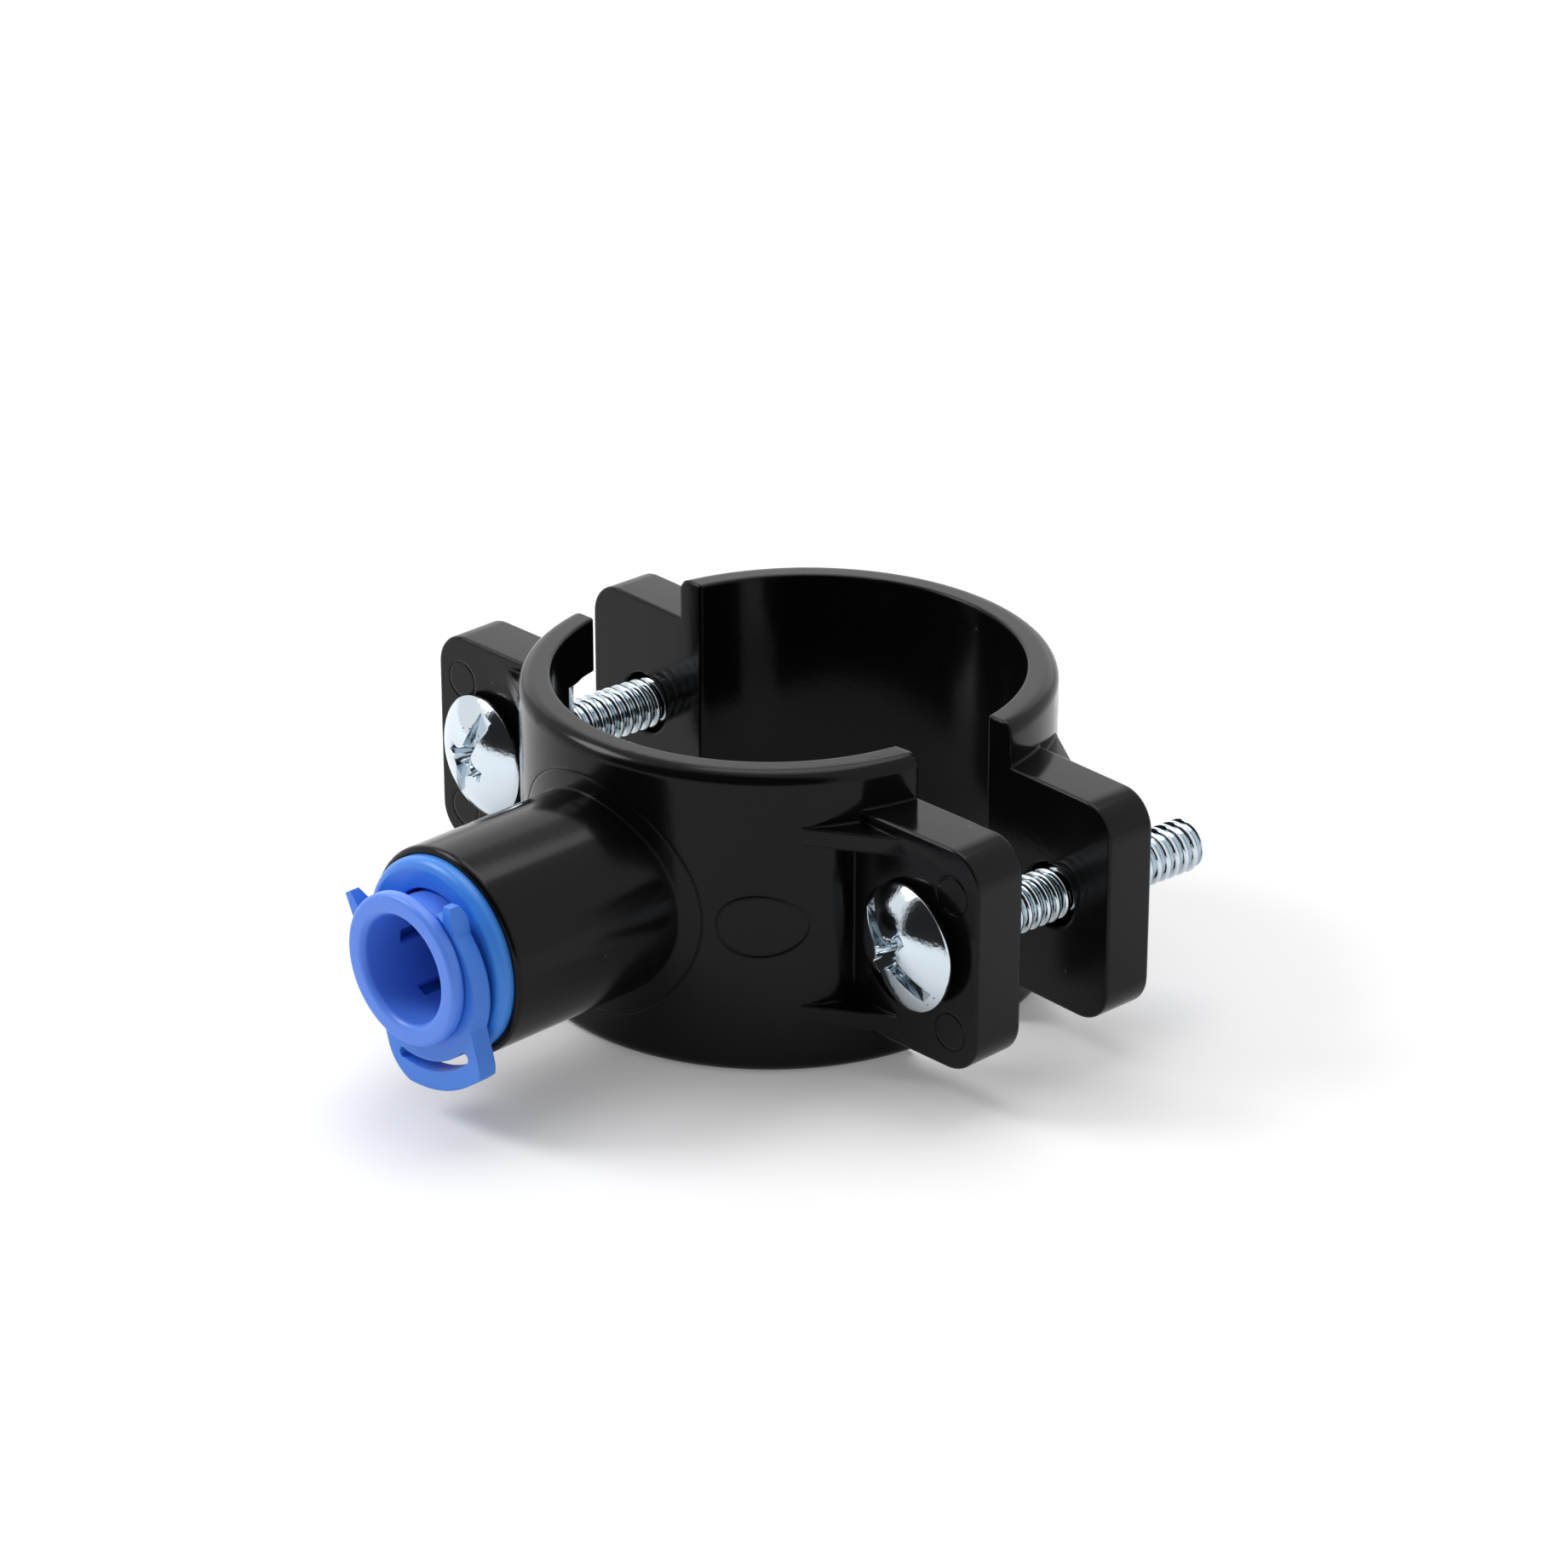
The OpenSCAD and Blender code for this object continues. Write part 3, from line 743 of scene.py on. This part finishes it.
@dataclass
class MouldedPart:
    """A moulded part of the clamp, with the small rounds that a mould leaves along its outer edges.

    Faces within flat_angle of each other count as one flat face, and an edge where they turn by more than
    sharp_angle counts as sharp. It has room for its round where no other sharp edge lies within room times
    the round, apart from those that join on to it within bend_reach times as far as that. Edges inside the
    spigot, from its root to its mouth, stay sharp.
    """

    node: str
    body: str
    slot: str
    finish: Finish
    edge_round: float = 0.24
    flat_angle: float = 0.6
    sharp_angle: float = 40
    smooth_angle: float = 50
    area_weight: int = 60
    room: float = 2.0
    room_samples: int = 4
    bend_reach: float = 1.6
    spigot_height: float = 14.25
    spigot_inside: float = 9.3
    spigot_root: float = -17
    spigot_mouth: float = -38.5

    def copied(self) -> bpy.types.Object:
        """Copy the frame's part, merged into one skin with whole flat faces.

        Returns:
            The copy.
        """
        mesh = frame["nodes"][self.node].data.copy()
        piece = bpy.data.objects.new(f"{self.node}_moulded", mesh)
        mesh.name = piece.name
        bpy.context.scene.collection.objects.link(piece)
        open_mesh(piece)
        bpy.ops.mesh.remove_doubles(threshold=millimetres(MERGE_DISTANCE))
        bpy.ops.mesh.dissolve_limited(angle_limit=math.radians(self.flat_angle))
        bpy.ops.object.mode_set(mode="OBJECT")
        return piece

    def sharp_edges(self, mesh: bpy.types.Mesh) -> dict[tuple[int, int], bool]:
        """Find the edges that turn sharply.

        Args:
            mesh: The part's merged mesh.

        Returns:
            Each sharp edge's vertices, and whether it stands out.
        """
        sides: dict[tuple[int, int], list[tuple[int, int, int]]] = {}
        for polygon in mesh.polygons:
            corners = list(polygon.vertices)
            for start, end in zip(corners, corners[1:] + corners[:1]):
                sides.setdefault((min(start, end), max(start, end)), []).append((polygon.index, start, end))
        limit = math.cos(math.radians(self.sharp_angle))
        found = {}
        for key, pair in sides.items():
            if len(pair) != 2:
                continue
            first = mesh.polygons[pair[0][0]].normal
            second = mesh.polygons[pair[1][0]].normal
            if first.dot(second) < limit:
                _, start, end = pair[1]
                inward = second.cross(mesh.vertices[end].co - mesh.vertices[start].co)
                found[key] = inward.dot(first) < 0
        return found

    def in_spigot(self, point: Vector) -> bool:
        """Tell whether a point lies inside the spigot, where nothing shows it.

        Args:
            point: The point, in scene units.

        Returns:
            Whether it lies there.
        """
        off_axis = math.hypot(point.x, point.z - millimetres(self.spigot_height))
        along = millimetres(self.spigot_mouth) < point.y < millimetres(self.spigot_root)
        return along and off_axis < millimetres(self.spigot_inside)

    def joined(
        self, mesh: bpy.types.Mesh, keys: list[tuple[int, int]], touching: dict[int, list[int]], first: int,
        farthest: float,
    ) -> set[int]:
        """Walk from one sharp edge along those that join on to it.

        Args:
            mesh: The part's merged mesh.
            keys: The vertices of each sharp edge.
            touching: The numbers of the sharp edges that meet at each vertex.
            first: The number of the edge that the walk starts from.
            farthest: How far the walk goes.

        Returns:
            The numbers of the edges that it meets, the first one among them.
        """
        met = {first}
        ends = [(vertex, 0.0) for vertex in keys[first]]
        while ends:
            vertex, walked = ends.pop()
            for number in touching[vertex]:
                if number in met:
                    continue
                met.add(number)
                start, end = keys[number]
                length = (mesh.vertices[start].co - mesh.vertices[end].co).length
                if walked + length < farthest:
                    ends.append((start if end == vertex else end, walked + length))
        return met

    def roomy(self, mesh: bpy.types.Mesh, sharp: dict[tuple[int, int], bool]) -> set[tuple[int, int]]:
        """Choose the outstanding edges that have room for their round.

        Args:
            mesh: The part's merged mesh.
            sharp: Its sharp edges.

        Returns:
            The vertices of each chosen edge.
        """
        reach = millimetres(self.edge_round) * self.room
        step = reach / self.room_samples
        keys = list(sharp)
        touching: dict[int, list[int]] = {}
        samples = []
        for number, key in enumerate(keys):
            start, end = (mesh.vertices[vertex].co for vertex in key)
            count = max(2, math.ceil((end - start).length / step))
            samples.append([start.lerp(end, i / count) for i in range(count + 1)])
            for vertex in key:
                touching.setdefault(vertex, []).append(number)
        tree = KDTree(sum(len(points) for points in samples))
        for number, points in enumerate(samples):
            for point in points:
                tree.insert(point, number)
        tree.balance()
        chosen = set()
        for number, key in enumerate(keys):
            if not sharp[key] or all(self.in_spigot(mesh.vertices[vertex].co) for vertex in key):
                continue
            own = self.joined(mesh, keys, touching, number, self.bend_reach * reach)
            if all(hit[1] in own for point in samples[number] for hit in tree.find_range(point, reach)):
                chosen.add(key)
        return chosen

    def build(self) -> bpy.types.Object:
        """Round the part's outer edges and set it in the place of the frame's sharp one.

        Returns:
            The finished part.
        """
        piece = self.copied()
        sharp = self.sharp_edges(piece.data)
        chosen = self.roomy(piece.data, sharp)
        open_edges(piece, lambda edge: tuple(sorted(edge.vertices)) in chosen)
        bpy.ops.mesh.bevel(offset=millimetres(self.edge_round), segments=ROUND_SEGMENTS, clamp_overlap=False)
        bpy.ops.object.mode_set(mode="OBJECT")
        bpy.ops.mesh.customdata_custom_splitnormals_clear()
        smooth(piece, self.smooth_angle)
        apply_modifier(piece, "WEIGHTED_NORMAL", mode="FACE_AREA", weight=self.area_weight, keep_sharp=True)
        LOG.info("%s: %d of %d sharp edges rounded", piece.name, len(chosen), len(sharp))
        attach(piece, self.body)
        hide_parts(self.node)
        return piece

    def dress(self) -> None:
        """Build the part and give it its moulded finish."""
        piece = self.build()
        self.finish.dress(piece)
        LOG.info("%s: %d faces", piece.name, len(piece.data.polygons))


@dataclass
class FramePieces:
    """The frame's own nodes that are shown as they are, with the finish of each."""

    finishes: tuple[tuple[str, Finish], ...] = (
        ("locking_clip", BLUE_CLIP),
        ("nut_left", ZINC_PLATE),
        ("nut_right", ZINC_PLATE),
        ("grip_teeth", STAINLESS),
        ("tube_seal", RUBBER),
        ("saddle_gasket", RUBBER),
    )

    def dress(self) -> None:
        """Give every kept node its finish."""
        for name, finish in self.finishes:
            finish.dress(frame["nodes"][name])
            LOG.info("%s: %s", name, finish.name)


def bearing(azimuth: float, elevation: float) -> Vector:
    """Turn a compass angle and a height angle into a direction from the clamp.

    Args:
        azimuth: Degrees round from -Y towards +X.
        elevation: Degrees above the floor.

    Returns:
        The unit vector that points that way.
    """
    around, up = math.radians(azimuth), math.radians(elevation)
    return Vector((math.sin(around) * math.cos(up), -math.cos(around) * math.cos(up), math.sin(up)))


@dataclass(frozen=True)
class SoftBox:
    """A rectangular soft lamp that faces the clamp, with sizes in millimetres."""

    name: str
    azimuth: float
    elevation: float
    distance: float
    width: float
    height: float
    radiance: float

    def hang(self, aim: Vector) -> None:
        """Hang the lamp at its bearing from the point that it faces.

        Args:
            aim: The point, in millimetres.
        """
        data = bpy.data.lights.new(self.name, "AREA")
        data.shape = "RECTANGLE"
        data.size = millimetres(self.width)
        data.size_y = millimetres(self.height)
        data.energy = self.radiance * math.pi * data.size * data.size_y
        lamp = bpy.data.objects.new(self.name, data)
        bpy.context.scene.collection.objects.link(lamp)
        away = bearing(self.azimuth, self.elevation)
        spot = (aim + away * self.distance) * MM
        lamp.matrix_world = Matrix.Translation(spot) @ away.to_track_quat("Z", "Y").to_matrix().to_4x4()


@dataclass
class Studio:
    """The pale floor, the soft lamps, the pale surroundings and the camera."""

    camera_azimuth: float = 45.602
    camera_elevation: float = 25.2126
    camera_distance: float = 491.17
    aim: tuple[float, float, float] = (0.227, 1.503, 16.890)
    focal_length: float = 127.58
    sensor_width: float = 36
    nearest_seen: float = 10
    farthest_seen: float = 50000
    floor_size: float = 6000
    floor_colour: tuple[float, float, float] = (0.88, 0.88, 0.89)
    floor_roughness: float = 0.9
    floor_gloss: float = 0.1
    floor_glow: float = 0.17
    front_glow: float = 0.38
    back_glow: float = 0.72
    glow_span: tuple[float, float] = (-0.3, 0.6)
    dim_bearing: tuple[float, float] = (20, 15)
    dim_radius: float = 52
    dim_softness: float = 4
    dim_level: float = 0.02
    soft_boxes: tuple[SoftBox, ...] = (
        SoftBox("overhead", azimuth=205, elevation=72, distance=900, width=560, height=560, radiance=3.0),
        SoftBox("left_window", azimuth=-52, elevation=40, distance=900, width=330, height=330, radiance=9.5),
        SoftBox("back_card", azimuth=225, elevation=25, distance=2000, width=3000, height=1200, radiance=0.7),
    )

    def camera(self) -> None:
        """Set the camera at the photograph's angle."""
        azimuth = math.radians(self.camera_azimuth)
        back = bearing(self.camera_azimuth, self.camera_elevation)
        across = Vector((math.cos(azimuth), math.sin(azimuth), 0))
        turn = Matrix((across, back.cross(across), back)).transposed().to_4x4()
        spot = (Vector(self.aim) + back * self.camera_distance) * MM
        data = bpy.data.cameras.new("camera")
        data.lens = self.focal_length
        data.sensor_width = self.sensor_width
        data.clip_start = millimetres(self.nearest_seen)
        data.clip_end = millimetres(self.farthest_seen)
        camera = bpy.data.objects.new("camera", data)
        bpy.context.scene.collection.objects.link(camera)
        camera.matrix_world = Matrix.Translation(spot) @ turn
        bpy.context.scene.camera = camera

    def floor(self) -> None:
        """Lay the floor, a little paler to see and to reflect than its light makes it."""
        deselect_all()
        bpy.ops.mesh.primitive_plane_add(size=millimetres(self.floor_size))
        floor = bpy.context.object
        floor.name = "floor"
        surface = bpy.data.materials.new("pale_floor")
        surface.use_nodes = True
        sheet = NodeSheet(surface.node_tree)
        shown = self.background_rays(sheet, sheet.add("LightPath", {}), with_camera=True)
        sheet.feed(sheet.tree.nodes["Principled BSDF"], {
            "Base Color": (*self.floor_colour, 1),
            "Roughness": self.floor_roughness,
            "Specular IOR Level": self.floor_gloss,
            "Emission Color": WHITE,
            "Emission Strength": sheet.calculate("MULTIPLY", shown, self.floor_glow),
        })
        floor.data.materials.append(surface)

    def background_rays(
        self, sheet: NodeSheet, path: bpy.types.Node, with_camera: bool,
    ) -> bpy.types.NodeSocket:
        """Tell the rays that show the background from those that light the clamp.

        Args:
            sheet: The nodes of the floor or of the surroundings.
            path: Their Light Path node.
            with_camera: Whether the camera's own rays count too.

        Returns:
            A socket that is 1 for such a ray and 0 for any other.
        """
        shown = sheet.calculate("MAXIMUM", path.outputs["Is Glossy Ray"], path.outputs["Is Transmission Ray"])
        if with_camera:
            shown = sheet.calculate("MAXIMUM", shown, path.outputs["Is Camera Ray"])
        return shown

    def fade(
        self, sheet: NodeSheet, towards: Vector, span: tuple[float, float], levels: tuple[float, float],
    ) -> bpy.types.NodeSocket:
        """Add a level that changes with the angle from a direction.

        Args:
            sheet: The nodes of the surroundings.
            towards: The direction.
            span: The cosines of the angle between which the level changes.
            levels: The level at the first and at the second of them.

        Returns:
            The socket with the level.
        """
        way = sheet.add("TexCoord", {}).outputs["Generated"]
        along = sheet.add("VectorMath", {0: way, 1: towards}, operation="DOT_PRODUCT")
        return sheet.remap(along.outputs["Value"], span, levels)

    def surroundings(self) -> None:
        """Make the surroundings white to see and to reflect, but for the dim side of the room in front."""
        world = bpy.data.worlds.new("surroundings")
        world.use_nodes = True
        sheet = NodeSheet(world.node_tree)
        behind = bearing(self.camera_azimuth + 180, 0)
        light = self.fade(sheet, behind, self.glow_span, (self.front_glow, self.back_glow))
        outer = math.cos(math.radians(self.dim_radius + self.dim_softness))
        inner = math.cos(math.radians(self.dim_radius - self.dim_softness))
        mirrored = self.fade(sheet, bearing(*self.dim_bearing), (outer, inner), (1.0, self.dim_level))
        path = sheet.add("LightPath", {})
        unseen = sheet.add("Mix", {
            "Factor": self.background_rays(sheet, path, with_camera=False), "A": light, "B": mirrored,
        })
        strength = sheet.calculate("MAXIMUM", path.outputs["Is Camera Ray"], unseen.outputs["Result"])
        sheet.feed(sheet.tree.nodes["Background"], {"Color": WHITE, "Strength": strength})
        bpy.context.scene.world = world

    def build(self) -> None:
        """Set up the whole studio."""
        bpy.context.scene.view_settings.view_transform = "Standard"
        self.camera()
        self.floor()
        for box in self.soft_boxes:
            box.hang(Vector(self.aim))
        self.surroundings()
        LOG.info("studio ready")


def main() -> None:
    """Build and dress every sub-assembly in order."""
    logging.basicConfig(level=logging.INFO, format="%(name)s: %(message)s")
    Studio().build()
    FramePieces().dress()
    for part in (
        MouldedPart(node="front_shell", body="front_half", slot="black_shell", finish=BLACK_MOULDING),
        MouldedPart(node="rear_shell", body="rear_half", slot="black_shell", finish=BLACK_MOULDING),
        MouldedPart(node="collet_cap", body="front_half", slot="blue_cap", finish=BLUE_CAP, edge_round=0.2),
        MouldedPart(node="collet", body="collet", slot="blue_collet", finish=BLUE_COLLET, edge_round=0.2),
    ):
        part.dress()
    MachineScrew(side=Side.LEFT, recess_turn=69).dress()
    MachineScrew(side=Side.RIGHT, recess_turn=-40).dress()


if __name__ == "__main__":
    main()
